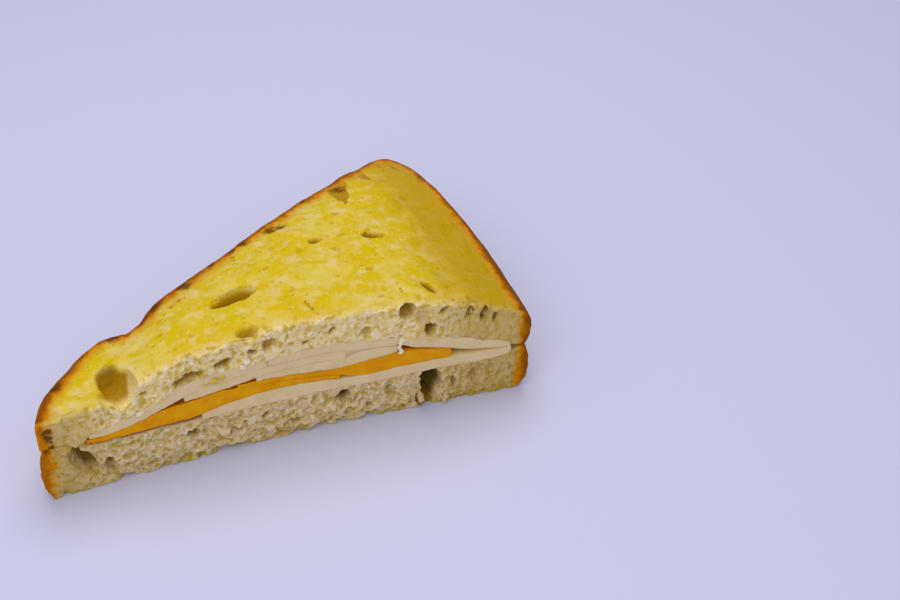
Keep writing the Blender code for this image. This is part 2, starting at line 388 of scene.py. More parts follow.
view = {
    "place": (-79.1 * mm, -358.5 * mm, 306.3 * mm),
    "azimuth": 22.9, "elevation": 38.0, "roll": -2.3,
    "lens": 53.4, "sensor": 36.0,
}


def addCamera():
    azimuth, elevation, roll = (math.radians(view[key]) for key in ("azimuth", "elevation", "roll"))
    forward = Vector((math.sin(azimuth) * math.cos(elevation), math.cos(azimuth) * math.cos(elevation),
                      -math.sin(elevation)))
    level = Vector((math.cos(azimuth), -math.sin(azimuth), 0))
    upright = level.cross(forward)
    up = upright * math.cos(roll) + level * math.sin(roll)
    right = level * math.cos(roll) - upright * math.sin(roll)
    data = bpy.data.cameras.new("camera")
    data.lens, data.sensor_width = view["lens"], view["sensor"]
    data.clip_start = 0.01
    camera = bpy.data.objects.new("camera", data)
    turned = Matrix((right, up, -forward)).transposed()
    camera.matrix_world = Matrix.Translation(view["place"]) @ turned.to_4x4()
    bpy.context.scene.collection.objects.link(camera)
    bpy.context.scene.camera = camera


studio = {
    "lights": [
        {"name": "overhead", "place": (0.10, 0.25, 0.90), "size": 0.7, "power": 3.3,
         "color": (1, 0.98, 0.96)},
        {"name": "frontWindow", "place": (-0.40, -0.65, 0.85), "size": 1.2, "power": 5.0,
         "color": (1, 0.99, 1)},
    ],
    "skyColor": (0.87, 0.87, 1.0), "skyStrength": 0.40,
    # the floor goes darker and mauver towards the back: painted shade
    "floorNear": (0.66, 0.67, 0.86), "floorFar": (0.50, 0.43, 0.50), "fadeFrom": 0.15, "fadeTo": 1.3,
    "floorSize": 3.0, "floorRough": 0.6, "floorSpecular": 0.25,
}


def addStudio():
    for light in studio["lights"]:
        data = bpy.data.lights.new(light["name"], "AREA")
        data.shape, data.size = "DISK", light["size"]
        data.energy, data.color = light["power"], light["color"]
        lamp = bpy.data.objects.new(light["name"], data)
        lamp.location = light["place"]
        lamp.rotation_euler = (-Vector(light["place"])).to_track_quat("-Z", "Y").to_euler()
        bpy.context.scene.collection.objects.link(lamp)
    world = bpy.data.worlds.new("softSky")
    world.use_nodes = True
    background = world.node_tree.nodes["Background"]
    background.inputs["Color"].default_value = rgb(studio["skyColor"])
    background.inputs["Strength"].default_value = studio["skyStrength"]
    bpy.context.scene.world = world
    bm = bmesh.new()
    bmesh.ops.create_grid(bm, x_segments=1, y_segments=1, size=studio["floorSize"])
    floor = newPiece("paleFloor", bm)
    material, tree, shader = newMaterial("paleFloor")
    # painted shade: the floor is darker and mauver towards the back
    coordinates = addNode(tree, "TexCoord").outputs["Object"]
    back = addNode(tree, "SeparateXYZ", links={"Vector": coordinates}).outputs["Y"]
    fade = spread(tree, back, studio["fadeFrom"], studio["fadeTo"])
    floorColor = mixColor(tree, fade, studio["floorNear"], studio["floorFar"])
    tree.links.new(floorColor, shader.inputs["Base Color"])
    shader.inputs["Roughness"].default_value = studio["floorRough"]
    shader.inputs["Specular IOR Level"].default_value = studio["floorSpecular"]
    floor.data.materials.append(material)


# bread

crumb = {
    # hollow is the colour of painted shade in holes
    "light": (0.80, 0.62, 0.32), "dense": (0.55, 0.365, 0.075), "hollow": (0.42, 0.22, 0.001),
    # ochreHoleShade and oliveHoleShade are painted shade for the shut-in crumb
    "ochreHoleShade": (0.30, 0.155, 0.004), "oliveHoleShade": (0.19, 0.125, 0.010),
    "butter": (0.76, 0.535, 0.0005), "butterPale": (0.81, 0.61, 0.075), "fleck": (0.85, 0.67, 0.26),
    # golden is more toasting and painted shade at the blunt end
    # ochre is painted shade in the face's pits and recesses
    "goldenAndShaded": (0.56, 0.345, 0.001), "ochreShade": (0.50, 0.27, 0.004), "tan": (0.66, 0.34, 0.025),
    "oilDull": (0.53, 0.43, 0.05),
    "crustGold": (0.72, 0.265, 0.002), "crustBrown": (0.48, 0.15, 0.001),
    # scorch is the colour of burnt marks, and also of painted shade
    "crustDark": (0.22, 0.055, 0.001), "scorchAndShade": (0.14, 0.036, 0.003),
}


def breadMaterial(name, settings):
    # attributes: gap is the distance from the crust in units of 20 mm, faceShare the toasted face,
    # closed how shut in a point is, from which shade is painted into recesses, pore how deep in a bubble of
    # the crumb or a pit of the face, painted shade there, ridge the walls between bubbles, a painted
    # highlight on them, sunken the large holes of the face, painted shade in them, soaked is butter,
    # scorched is dark marks burnt into the crust and painted shade at the crust's blunt end and in the left
    # hole, dense the closer crumb beside the crust and painted shade at the blunt end and over the lower
    # slice, golden the more toasted end and painted shade there
    material, tree, shader = newMaterial(name)
    gap, faceShare, closed, poreShade, ridgeHighlight, sunkenShade, soaked, scorchedAndShaded, dense, goldenAndShaded = [
        attribute(tree, label) for label in ("gap", "faceShare", "closed", "poreShade", "ridgeHighlight", "sunkenShade",
                                             "soaked", "scorchedAndShaded", "dense", "goldenAndShaded")]

    coarse, medium, fine = objectNoise(tree, 9, 3), objectNoise(tree, 3, 3), objectNoise(tree, 0.7, 2)
    cells, smallCells = objectCells(tree, 1.5, 0.9), objectCells(tree, 0.65, 0.4)
    # the cut's crumb: its bubbles are painted darker as painted shade, its walls and fine specks lighter as
    # painted highlight
    crumbColor = layered(tree, settings["crumbLight"], [
        (medium, 0.35, 0.7, 0.5, settings["crumbWarm"]),
        (poreShade, 0.0, 0.55, 0.9, settings["crumbPoreShade"]),
        (ridgeHighlight, 0.05, 0.5, 0.85, settings["crumbRidgeHighlight"]),
        (fine, 0.52, 0.68, 0.5, settings["crumbRidgeHighlight"]),
        (fine, 0.46, 0.30, 0.5, settings["crumbPoreShade"]),
    ])
    # closer crumb beside the crust, and painted shade at the blunt end and over the lower slice
    crumbColor = mixColor(tree, mathNode(tree, "MULTIPLY", dense, 0.75), crumbColor, crumb["dense"])
    # painted shade: the crumb darkens where it is shut in
    crumbColor = mixColor(tree, spread(tree, closed, 0.22, 0.95), crumbColor, settings["holeShadeColor"])

    patches = objectNoise(tree, 14, 4, 0.6, distortion=0.7)
    spots, mottle = objectNoise(tree, 5, 4, 0.6, distortion=0.4), objectNoise(tree, 1.8, 5, 0.7)
    faceColor = layered(tree, settings["soakPale"], [
        (patches, 0.40, 0.56, 1, settings["soakColor"]),
        (spots, 0.48, 0.70, 0.75, crumb["fleck"]),
        (spots, 0.50, 0.32, 0.9, settings["soakColor"]),
        (mottle, 0.50, 0.72, 0.6, crumb["fleck"]),
        (mottle, 0.44, 0.30, 0.5, settings["soakColor"]),
        # more toasted at the blunt end, and painted shade there
        (goldenAndShaded, 0, 1, 0.85, crumb["goldenAndShaded"]),
        # painted shade in the face's pits and where it is shut in
        (poreShade, 0.1, 0.6, 0.6, crumb["ochreShade"]),
        (closed, 0.05, 0.45, 1, crumb["ochreShade"]),
    ])

    color = mixColor(tree, soaked, crumbColor, faceColor)
    # painted shade in the large holes of the toasted face and the cut's cavities
    color = mixColor(tree, mathNode(tree, "MULTIPLY", sunkenShade, 0.95), color, crumb["hollow"])

    # the crust: brown outermost, then tan, fading into the bread
    ragged = mathNode(tree, "ADD", gap, spread(tree, medium, 0.25, 0.75, -0.03, 0.03))
    ragged = mathNode(tree, "ADD", ragged, spread(tree, coarse, 0.3, 0.7, -0.035, 0.035))
    reach = spread(tree, faceShare, 0.2, 0.8, 0.12, 0.21)
    share = mathNode(tree, "DIVIDE", ragged, reach)
    color = mixColor(tree, spread(tree, share, 1.7, 0.95, 0, 0.7), color, crumb["tan"])
    crustColor = mixColor(tree, spread(tree, coarse, 0.35, 0.6), crumb["crustGold"], crumb["crustBrown"])
    crustColor = mixColor(tree, spread(tree, share, 0.95, 0.55, 0.0, 1), crumb["crustGold"], crustColor)
    crustColor = mixColor(tree, spread(tree, mottle, 0.5, 0.7, 0, 0.4), crustColor, crumb["tan"])
    color = mixColor(tree, spread(tree, share, 1.1, 0.8), color, crustColor)
    outermost = mathNode(tree, "MULTIPLY", faceShare, spread(tree, share, 0.95, 0.3, 0, 0.85))
    color = mixColor(tree, outermost, color, crumb["crustDark"])
    # burnt marks, and painted shade at the crust's blunt end and in the left hole
    color = mixColor(tree, scorchedAndShaded, color, crumb["scorchAndShade"])
    tree.links.new(color, shader.inputs["Base Color"])

    wet = mathNode(tree, "MULTIPLY", soaked, spread(tree, patches, 0.4, 0.6, 0.25, 0.45))
    dry = mathNode(tree, "SUBTRACT", 0.88, wet)
    tree.links.new(mathNode(tree, "ADD", dry, spread(tree, fine, 0.3, 0.7, -0.1, 0.1)),
                   shader.inputs["Roughness"])
    shader.inputs["Specular IOR Level"].default_value = 0.03
    shader.inputs["Subsurface Weight"].default_value = 0.25
    shader.inputs["Subsurface Radius"].default_value = (1.0, 0.55, 0.2)
    shader.inputs["Subsurface Scale"].default_value = 1.6 * mm
    crumbShare = mathNode(tree, "SUBTRACT", 1.0, soaked)
    pores = mathNode(tree, "MULTIPLY", cells, spread(tree, crumbShare, 0, 1, 0.4, 1))
    first = addBump(tree, shader, pores, 0.45, 0.4)
    second = addBump(tree, shader, smallCells, 0.3, 0.2, before=first)
    addBump(tree, shader, mottle, 0.7, 0.6, before=second)
    return material


# how much closer the crumb's bubbles are at each place along the cut, from 0 to 1

def denseTop(x):
    beside, before = 0.35 * smoothStep(abs(x - 105), 14, 4), smoothStep(abs(x - 124), 7, 3)
    return max(smoothStep(x, 26, 12), before, beside)


def denseBottom(x):
    return max(smoothStep(x, 20, 8), 0.4 * smoothStep(x, 130, 140))


# cavities in the cut: place along it, height, half widths, turn in degrees, depth; deepenings of the toasted
# face: place along the cut and back from it, half widths, turn in degrees, depth; paleFilm and shade are
# patches on that face: middle, half widths and, for the shade, how dark it is; the shade is painted shade in
# the left hole, and the pale film lessens the painted hole shade and the butter; lengths in millimetres
breadSlices = {
    "toastedTopSlice": {
        "node": "bread_top", "slot": "bread_buttered", "seed": 3, "outer": 1,
        "bubblesPerSquareMm": 0.8, "smallestMm": 0.42, "largestMm": 1.4, "sizeFall": 2.9, "deepestMm": 1.5,
        "uprightBetweenMm": (118, 140), "closer": denseTop, "dense": 0.0, "cutShare": 0.38,
        "lumpMm": 0.38,
        "soakColor": crumb["butter"], "soakPale": crumb["butterPale"],
        "holeShadeColor": crumb["ochreHoleShade"], "edgeRoll": 1.1,
        # the upper slice's crumb colours are set lighter than the lower's: painted light on the better-lit
        # cut
        "crumbLight": (0.95, 0.745, 0.33), "crumbWarm": (0.87, 0.62, 0.20),
        "crumbRidgeHighlight": (0.98, 0.85, 0.57), "crumbPoreShade": (0.70, 0.49, 0.065),
        "cavities": [(117.6, 42.6, 3.0, 3.4, 35, 5.5), (125.7, 34.4, 2.6, 1.9, 65, 6),
                     (122.3, 39, 2.0, 5.4, 40, 1.8), (138.5, 37.4, 1.2, 2.8, -15, 3.5),
                     (143.6, 36.4, 1.2, 3.0, -18, 4.5), (148, 33.5, 1.0, 2.2, 0, 3),
                     (46.5, 35.4, 5.0, 2.0, 15, 4.5), (57.8, 38.0, 3.0, 1.7, 10, 4.5),
                     (72.7, 41, 2.6, 2.0, 15, 3), (67, 39.8, 1.6, 1.2, 0, 3.5),
                     (84, 39, 1.5, 1.0, 0, 2.5), (93, 41.5, 1.6, 1.1, 30, 2.5),
                     (104, 38, 2.2, 1.8, 0, 2.2), (33, 33.5, 1.3, 1.1, 0, 2.5),
                     (130, 41, 2.0, 1.0, 40, 3)],
        "paleFilm": (30.6, 3.0, 2.2, 9), "shade": (23.8, 15.0, 4.2, 5.2, 0.5),
        "deepenings": [(24.1, 10.8, 3.8, 6.2, 8, 3.6), (27.5, 0.5, 4.4, 6.5, 8, 3.4),
                       (66.4, 22.6, 8, 2.6, 14, 3.5), (119.3, 41.3, 4.0, 1.6, -17, 2.0),
                       (127.7, 9.8, 3.8, 1.3, -68, 2.5), (66.5, 4.8, 3.6, 2.2, 5, 1.8),
                       (99.4, 43.1, 2.2, 1.3, 10, 1.5), (88, 9, 5, 0.7, -75, 1.0),
                       (50, 32, 4, 1.2, 30, 1.2), (140, 3, 2.5, 1.2, -50, 1.5)],
    },
    "toastedBottomSlice": {
        "node": "bread_bottom", "slot": "bread", "seed": 11, "outer": -1,
        "bubblesPerSquareMm": 0.62, "smallestMm": 0.5, "largestMm": 1.9, "sizeFall": 2.3, "deepestMm": 1.9,
        # dense here is painted shade over the whole of this slice's crumb
        "uprightBetweenMm": (112, 135), "closer": denseBottom, "dense": 0.22, "cutShare": 0.62,
        "lumpMm": 0.55,
        "soakColor": crumb["oilDull"], "soakPale": crumb["light"],
        "holeShadeColor": crumb["oliveHoleShade"],
        # the lower slice's crumb colours are set darker than the upper's: painted shade, less light reaching
        # the lower cut
        "crumbLight": (0.79, 0.61, 0.31), "crumbWarm": (0.70, 0.49, 0.18),
        "crumbRidgeHighlight": (0.90, 0.75, 0.54), "crumbPoreShade": (0.52, 0.37, 0.05),
        "cavities": [(13.0, 12.2, 2.9, 8.0, 29, 6), (20, 8.5, 1.7, 3.4, 10, 5),
                     (46.5, 12.6, 2.6, 2.0, 0, 7), (96.3, 12.6, 2.3, 3.0, 0, 9),
                     (125.5, 10.5, 4.6, 7.0, 0, 14), (124.5, 4.0, 3.6, 5, 0, 11),
                     (60, 9, 2.0, 1.4, 20, 3), (70, 12.5, 1.6, 1.2, 0, 3), (80, 7, 1.8, 1.6, 0, 3),
                     (105, 6, 1.4, 2.2, 0, 3), (112, 10, 1.2, 2.8, 0, 3.5), (134, 9, 1.1, 3.0, 0, 3),
                     (141, 10.5, 1.6, 3.0, 5, 3), (33, 4, 2.6, 1.4, 0, 3), (75, 2.5, 3, 1.4, 0, 2.5)],
        "deepenings": [],
    },
}
relief = {
    "voxelMm": 0.655, "pitch": 0.14, "hollowReachMm": 5.0, "hollowRays": 7, "warpMm": 0.7, "wallMm": 0.9,
    "swellMm": 0.25, "refineMm": 5.0, "sinkMm": 2.5, "marginMm": 1, "cutHighMm": 50, "facePitch": 0.22,
    "gapUnitMm": 20,
    "facePits": {"bubblesPerSquareMm": 0.035, "smallestMm": 0.35, "largestMm": 1.4, "sizeFall": 2.4,
                 "deepestMm": 0.45, "uprightBetweenMm": (500, 600)},
}
# dark marks on the crust: place from the cut's pointed end (x, y, z) and radius, in millimetres
scorchMarks = [(117.9, 76.6, 42, 3.6), (91.3, 59.2, 42, 2.6), (88.5, 58.5, 42, 2.4),
               (77.7, 55.3, 42, 2.8), (72, 53, 42, 2.6), (54.2, 40.5, 41, 3.0), (43, 36, 39.5, 3.4),
               (38, 32, 38, 3.0), (29, 30, 36, 2.8), (103, 74, 42, 2.2), (64, 49, 41.5, 2.6),
               (2.8, 1, 21.5, 2.2), (1.6, 3, 15, 2.0), (3.4, 0.5, 26, 1.7), (1.5, 4, 9, 2.2),
               (8, 14, 32, 2.4), (133, 96, 41, 2.4)]


def dropBelow(places):
    # how far the upper slice can sink at each place until it lies on the next piece, in millimetres
    trees = [meshTree(node.data) for nodeName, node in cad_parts.items()
             if nodeName != breadSlices["toastedTopSlice"]["node"]]
    return np.array([roomBelow(Vector(place), trees, relief["sinkMm"] * mm) / mm for place in places])


def lieOfPoints(x, y, z, normals, outer):
    # how far each point is behind the cut, from the crust and below the outer face, and whether it is in
    # the cut or in the outer face
    behind, gap = y - cutFront(x), crustGap(x, y)
    cutShare = smoothStep(-normals[:, 1], 0.25, 0.7) * (1 - smoothStep(behind, 2.5, 5.5))
    faceShare = smoothStep(normals[:, 2] * outer, 0.35, 0.8) * (1 - cutShare)
    below = loafTop(x, y) - z if outer > 0 else z
    if outer > 0:
        edge = edgeHeight(x, z, (behind < 2.2) & (normals[:, 2] > 0.7) & (below < 2.5))
        below += (edge - z - below) * (1 - smoothStep(behind, 2, 6))
    faceShare *= 1 - smoothStep(below, 2.5, 4.5)
    return behind, gap, below, cutShare, faceShare


def sinkAtCut(places, normals, x, z, behind, gap):
    # how far the upper slice comes down at each point, most at its lower edge over the cut
    front = (behind < 6) & (normals[:, 2] < -0.7) & (gap > 1.5)
    drop = np.zeros(len(x))
    drop[front] = dropBelow(places[front])
    low, drop = edgeHeight(x, z, front), edgeHeight(x, drop, front)
    drop *= (1 - smoothStep(z - low, 0.5, 7)) * (1 - smoothStep(behind, 9, 18))
    return drop


def pressMarks(field, pitch, marks, marginY=0):
    for markX, markY, halfX, halfY, turn, deep in marks:
        pressBubble(field, pitch, markX + relief["marginMm"], markY + marginY, halfX, halfY,
                    math.radians(turn), deep)


def cutRelief(places, x, z, gap, below, tear, settings):
    # the crumb at the cut: how deep it is, how far it is sunk below what is around it, and its hollows
    seed, pitch, margin = settings["seed"], relief["pitch"], relief["marginMm"]
    width = (cadHigh.x - cadLow.x) / mm + 2 * margin
    bubbles = bubbleMap(width, relief["cutHighMm"], pitch, settings, seed)
    hollows = np.zeros_like(bubbles)
    pressMarks(hollows, pitch, settings["cavities"])
    across = x + margin + relief["warpMm"] * noiseAt(places, 2.2, seed + 7, 3)
    along = z + relief["warpMm"] * noiseAt(places, 2.2, seed + 8, 3)
    around = blurred(bubbles, int(relief["wallMm"] / pitch))
    inCrust = 1 - smoothStep(gap, 1.6, 3.2)
    cutDepth = readMap(bubbles, pitch, across, along) * (1 - 0.8 * inCrust)
    lumps = noiseAt(places, 1.9, seed + 12, 4)
    sunk = cutDepth - readMap(around, pitch, across, along) + 0.9 * lumps
    depth = (cutDepth * settings["cutShare"] + settings["lumpMm"] * lumps) * smoothStep(below, 0.2, 2.2)
    depth += tear * 0.25 * smoothStep(below, 0, 1.5)
    return depth, sunk, readMap(hollows, pitch, across, along)


def faceRelief(x, y, gap, settings):
    # the toasted face: small pits from bubbles, and the deepenings where the marks are
    pitch, margin = relief["facePitch"], relief["marginMm"]
    width, deep = (cadHigh.x - cadLow.x) / mm + 2 * margin, (cadHigh.y - cadLow.y) / mm + 2 * margin
    pits = bubbleMap(width, deep, pitch, relief["facePits"], settings["seed"] + 20)
    dips = np.zeros_like(pits)
    pressMarks(dips, pitch, settings["deepenings"], margin)
    pitDepth = readMap(pits, pitch, x + margin, y + margin) * smoothStep(gap, 3, 6)
    return pitDepth, readMap(dips, pitch, x + margin, y + margin)


def scorchShare(places, wander):
    # how dark the marks burnt into the crust are at each point
    x, y, z = inLoaf(places).T
    scorchedAndShaded = np.zeros(len(places))
    for markX, markY, markZ, radius in scorchMarks:
        away = np.sqrt((x - markX) ** 2 + (y - markY) ** 2 + (0.45 * (z - markZ)) ** 2) + wander
        scorchedAndShaded = np.maximum(scorchedAndShaded, 1 - smoothStep(away, radius * 0.4, radius * 1.2))
    return scorchedAndShaded


def makeBread(name, settings, material):
    piece = fineCopy(settings["node"], name, relief["voxelMm"])
    refineCut(piece, relief["refineMm"])
    mesh, seed, outer = piece.data, settings["seed"], settings["outer"]
    places, normals = readMesh(mesh)
    x, y, z = inLoaf(places).T
    behind, gap, below, cutShare, faceShare = lieOfPoints(x, y, z, normals, outer)
    wobble, tear = noiseAt(places, 6, seed, 2), noiseAt(places, 1.5, seed + 1, 3)
    wave, grain = noiseAt(places, 7, seed + 2, 3), noiseAt(places, 0.9, seed + 3, 2)

    depth, sunk, hollow = cutRelief(places, x, z, gap, below, tear, settings)
    hollowShare = smoothStep(-normals[:, 1], 0.15, 0.5) * (1 - smoothStep(behind, 7, 9))
    hollowDepth = np.maximum(hollow - np.maximum(behind, 0), 0) * hollowShare
    pitDepth, dipDepth = faceRelief(x, y, gap, settings)
    wallShare = (1 - cutShare) * (1 - faceShare)
    wallDepth = 0.18 + 0.22 * wobble + 0.10 * tear + 0.06 * grain
    if outer > 0:
        # the knife's edge is torn and rounded where the cut meets the toasted face
        faceDepth = pitDepth + 0.30 + 0.30 * wave + 0.08 * grain
        ragged = np.clip(1 + noiseAt(places * np.array([1, 0.2, 0.2]), 3.5, seed + 6, 3), 0.3, 1.8)
        rolled = (1 - smoothStep(below, 0, 2.6)) ** 1.5 * (1 - smoothStep(behind, 0, 4.5)) ** 1.2
        rolled *= settings["edgeRoll"] * ragged
    else:
        # the lower edge is torn into small lumps and stands back from the cut in places
        faceDepth = 0.15 + 0.15 * wave
        torn = np.clip(0.7 + 2.6 * noiseAt(places * np.array([1, 1, 0.4]), 4.5, seed + 9, 4), 0, 3)
        rolled = (1 - smoothStep(z, 0, 4.5)) * torn * (1 - smoothStep(behind, 2, 8))
        rolled *= smoothStep(gap, 2, 5)
    moved = places.copy()
    moved[:, 1] += (np.maximum(depth * cutShare, hollowDepth) + rolled) * mm
    if outer > 0:
        moved[:, 2] -= rolled * 0.8 * mm
    # a deepening ends where the slice does
    dipDepth *= 1 - smoothStep(below, 0, 2.2 * dipDepth + 0.5)
    moved[:, 2] -= (faceDepth * faceShare + dipDepth) * outer * mm
    inner = smoothStep(-normals[:, 2] * outer, 0.3, 0.8)
    wallDepth = wallDepth * (1 - inner) - relief["swellMm"] * inner
    moved -= normals * (wallDepth * wallShare * mm)[:, None]
    if outer > 0:
        moved[:, 2] -= sinkAtCut(places, normals, x, z, behind, gap) * mm
    writePlaces(mesh, np.clip(moved, cadLow, cadHigh))

    # what the material needs to know at each point
    moved, normals = readMesh(mesh)
    shown = (cutShare > 0.02) | (faceShare > 0.02) | (behind < 12)
    # how shut in each point is, which the material turns into painted shade; the cut's deep cavities get
    # more of it
    closed = occlusion(mesh, moved, normals, shown, relief["hollowReachMm"], relief["hollowRays"])
    deepIn = inLoaf(moved)[:, 1] - cutFront(x)
    closed = np.maximum(closed, 0.85 * smoothStep(deepIn, 1.5, 6.0) * smoothStep(hollow, 0.1, 1.0))
    bleed = 2.2 * noiseAt(places, 2.5, seed + 4, 3)
    scorchedAndShaded = scorchShare(places, 1.8 * wobble + 1.3 * tear)
    if outer > 0:
        soaked = smoothStep(np.minimum(behind, 7) - below + bleed, -4.0, 4.5)
        # painted shade in the face's large holes, less on the pale film, and in the cut's cavities
        sunkenShade = smoothStep(below + dipDepth, 0.9, 2.4) * smoothStep(behind, 1.5, 4.5)
        sunkenShade *= smoothStep(gap, 6, 9)
        filmX, filmY, halfX, halfY = settings["paleFilm"]
        film = 1 - smoothStep(np.hypot((x - filmX) / halfX, (y - filmY) / halfY), 0.6, 1.1)
        sunkenShade *= 1 - 0.8 * film
        sunkenShade = np.maximum(sunkenShade, 0.7 * smoothStep(hollowDepth, 0.6, 2.6))
        soaked *= 1 - 0.6 * film
        # a patch of painted shade in the left hole
        shadeX, shadeY, halfX, halfY, most = settings["shade"]
        shade = 1 - smoothStep(np.hypot((x - shadeX) / halfX, (y - shadeY) / halfY), 0.3, 1.1)
        scorchedAndShaded = np.maximum(scorchedAndShaded, most * shade * smoothStep(below + dipDepth, 0.5, 1.5))
    else:
        soaked = (1 - smoothStep(below + bleed, 0.2, 4.0)) * 0.85
        sunkenShade = np.zeros(len(places))
    onCrust = 1 - smoothStep(gap, 0.5, 3.0)
    patches = noiseAt(places, 10, seed + 10, 4)
    scorchedAndShaded = np.maximum(scorchedAndShaded * 0.9, 0.45 * smoothStep(patches, 0.12, 0.4) * onCrust)
    # painted shade on the crust at the blunt end
    scorchedAndShaded = np.maximum(scorchedAndShaded, 0.55 * smoothStep(x, 144, 154) * onCrust)

    rimGap = gap * (0.85 + 0.15 * smoothStep(-x, -34, -16))
    rimGap += (gap * 0.75 - rimGap) * cutShare * smoothStep(-x, -30, -12)
    # closer crumb beside the crust; the slice's own share and the blunt end add painted shade
    dense = 1 - smoothStep(gap, 3, 26) * (1 - settings["dense"])
    dense = np.maximum(dense, 0.95 * smoothStep(x, 116, 146))
    # more toasting and painted shade towards the blunt end of the toasted face
    goldenAndShaded = smoothStep(x + 4 * wobble, 116, 150)
    # painted shade in the cut's bubbles and the face's pits, painted highlight on the bubble walls
    poreShade, ridgeHighlight = sunk * cutShare + pitDepth * faceShare, -sunk * cutShare
    fields = {"gap": rimGap / relief["gapUnitMm"], "faceShare": faceShare, "closed": closed, "poreShade": poreShade,
              "goldenAndShaded": goldenAndShaded, "ridgeHighlight": ridgeHighlight, "sunkenShade": sunkenShade, "soaked": soaked, "scorchedAndShaded": scorchedAndShaded,
              "dense": dense}
    for label, values in fields.items():
        writeAttribute(mesh, label, values)
    mesh.shade_smooth()
    mesh.materials.clear()
    mesh.materials.append(material)
    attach(piece, "root")
    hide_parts(settings["node"])
    print(name, "faces", len(mesh.polygons))


# cheese

# flatSideShade is painted shade on the slices' flat faces
cheeseLooks = {
    "ivoryCheese": {
        "slot": "white_cheese", "color": (0.79, 0.595, 0.285), "pale": (0.83, 0.65, 0.36),
        "flatSideShade": (0.68, 0.50, 0.07), "rough": 0.45, "specular": 0.15,
    },
    "orangeCheese": {
        "slot": "orange_cheese", "color": (0.81, 0.30, 0.0005), "pale": (0.84, 0.41, 0.004),
        "flatSideShade": (0.55, 0.10, 0.0005), "rough": 0.45, "specular": 0.04,
    },
    "paleShred": {
        "slot": "white_cheese", "color": (0.90, 0.78, 0.52), "pale": (0.95, 0.86, 0.64),
        "flatSideShade": (0.85, 0.72, 0.45), "rough": 0.55, "specular": 0.15,
    },
    "meltedCheese": {
        "slot": "orange_cheese", "color": (0.72, 0.43, 0.02), "pale": (0.78, 0.55, 0.12),
        "flatSideShade": (0.66, 0.38, 0.01), "rough": 0.4, "specular": 0.2,
    },
}
cheeseSlices = {
    "ivoryLowerSlice": ("cheese_white_lower", "ivoryCheese"),
    "orangeLeftSlice": ("cheese_orange_left", "orangeCheese"),
    "orangeRightSlice": ("cheese_orange_right", "orangeCheese"),
    "ivoryMiddleSlice": ("cheese_white_middle", "ivoryCheese"),
    "ivoryInnerSlice": ("cheese_white_inner", "ivoryCheese"),
    "ivoryLeftSlice": ("cheese_white_left", "ivoryCheese"),
    "ivoryRightSlice": ("cheese_white_right", "ivoryCheese"),
}
cheeseCut = {
    "swellMm": 0.19, "ragMm": 0.22, "waveMm": 0.25, "stripFromMm": 3.2, "stripMm": 5.0, "refineMm": 4.2,
    "sharpDegrees": 50,
    "backMm": {"ivoryLowerSlice": 0.30, "orangeLeftSlice": 0.54, "orangeRightSlice": 0.60,
               "ivoryMiddleSlice": 0.30, "ivoryInnerSlice": 0.35, "ivoryLeftSlice": 0.40,
               "ivoryRightSlice": 0.45},
    "seed": {"ivoryCheese": 40, "orangeCheese": 52}, "waveSeed": 47,
    "endMm": 2, "endReachMm": {"ivoryLeftSlice": 0.8, "ivoryInnerSlice": 2.4},
    "settleMm": 10, "insideMm": 1.2, "liftMm": 0.8, "overlapMm": 0.12, "restReachMm": 2.4,
    "restsOn": {"orangeRightSlice": ["orangeLeftSlice"], "ivoryInnerSlice": ["ivoryMiddleSlice"],
                "ivoryLeftSlice": ["ivoryInnerSlice", "ivoryMiddleSlice"],
                "ivoryRightSlice": ["ivoryInnerSlice", "ivoryMiddleSlice"]},
}


def cheeseMaterial(name):
    looks = cheeseLooks[name]
    material, tree, shader = newMaterial(name)
    soft = objectNoise(tree, 5, 4, 0.6)
    streaks = objectNoise(tree, 0.8, 3, 0.6, stretch=(0.12, 1, 1))
    color = mixColor(tree, spread(tree, soft, 0.35, 0.7), looks["color"], looks["pale"])
    color = mixColor(tree, spread(tree, streaks, 0.45, 0.7, 0, 0.55), color, looks["pale"])
    # painted shade on the slices' flat faces, where they show in the steps between slices
    color = mixColor(tree, attribute(tree, "flatSideShade"), color, looks["flatSideShade"])
    tree.links.new(color, shader.inputs["Base Color"])
    tree.links.new(spread(tree, soft, 0.3, 0.7, looks["rough"] - 0.08, looks["rough"] + 0.1),
                   shader.inputs["Roughness"])
    shader.inputs["Specular IOR Level"].default_value = looks["specular"]
    addBump(tree, shader, streaks, 0.25, 0.12)
    return material


def fineSlice(nodeName, pieceName):
    # the slice as it is, in small faces where it was cut
    bm = joinedSolid(nodeName)
    for _ in range(2):
        bmesh.ops.subdivide_edges(bm, edges=bm.edges, cuts=1, use_grid_fill=True)
    piece = newPiece(pieceName, bm)
    for _ in range(2):
        refineCut(piece, cheeseCut["refineMm"])
    return piece


def facing(mesh, side, least):
    # the points that belong to a face turned towards the given side
    found = np.zeros(len(mesh.vertices), bool)
    for polygon in mesh.polygons:
        if polygon.normal.dot(side) > least:
            found[list(polygon.vertices)] = True
    return found


def settle(places, under, lowerNames):
    # soft slices lie close on one another at the cut: the underside comes down on to the slices below
    trees = [meshTree(bpy.data.objects[lowerName].data) for lowerName in lowerNames]
    lift = Vector((0, cheeseCut["insideMm"] * mm, cheeseCut["liftMm"] * mm))
    for index in np.nonzero(under & (places[:, 1] < cadLow.y + cheeseCut["settleMm"] * mm))[0]:
        gap = roomBelow(Vector(places[index]) + lift, trees, 1) - lift.z
        if 0 < gap < cheeseCut["restReachMm"] * mm:
            places[index, 2] -= gap + cheeseCut["overlapMm"] * mm


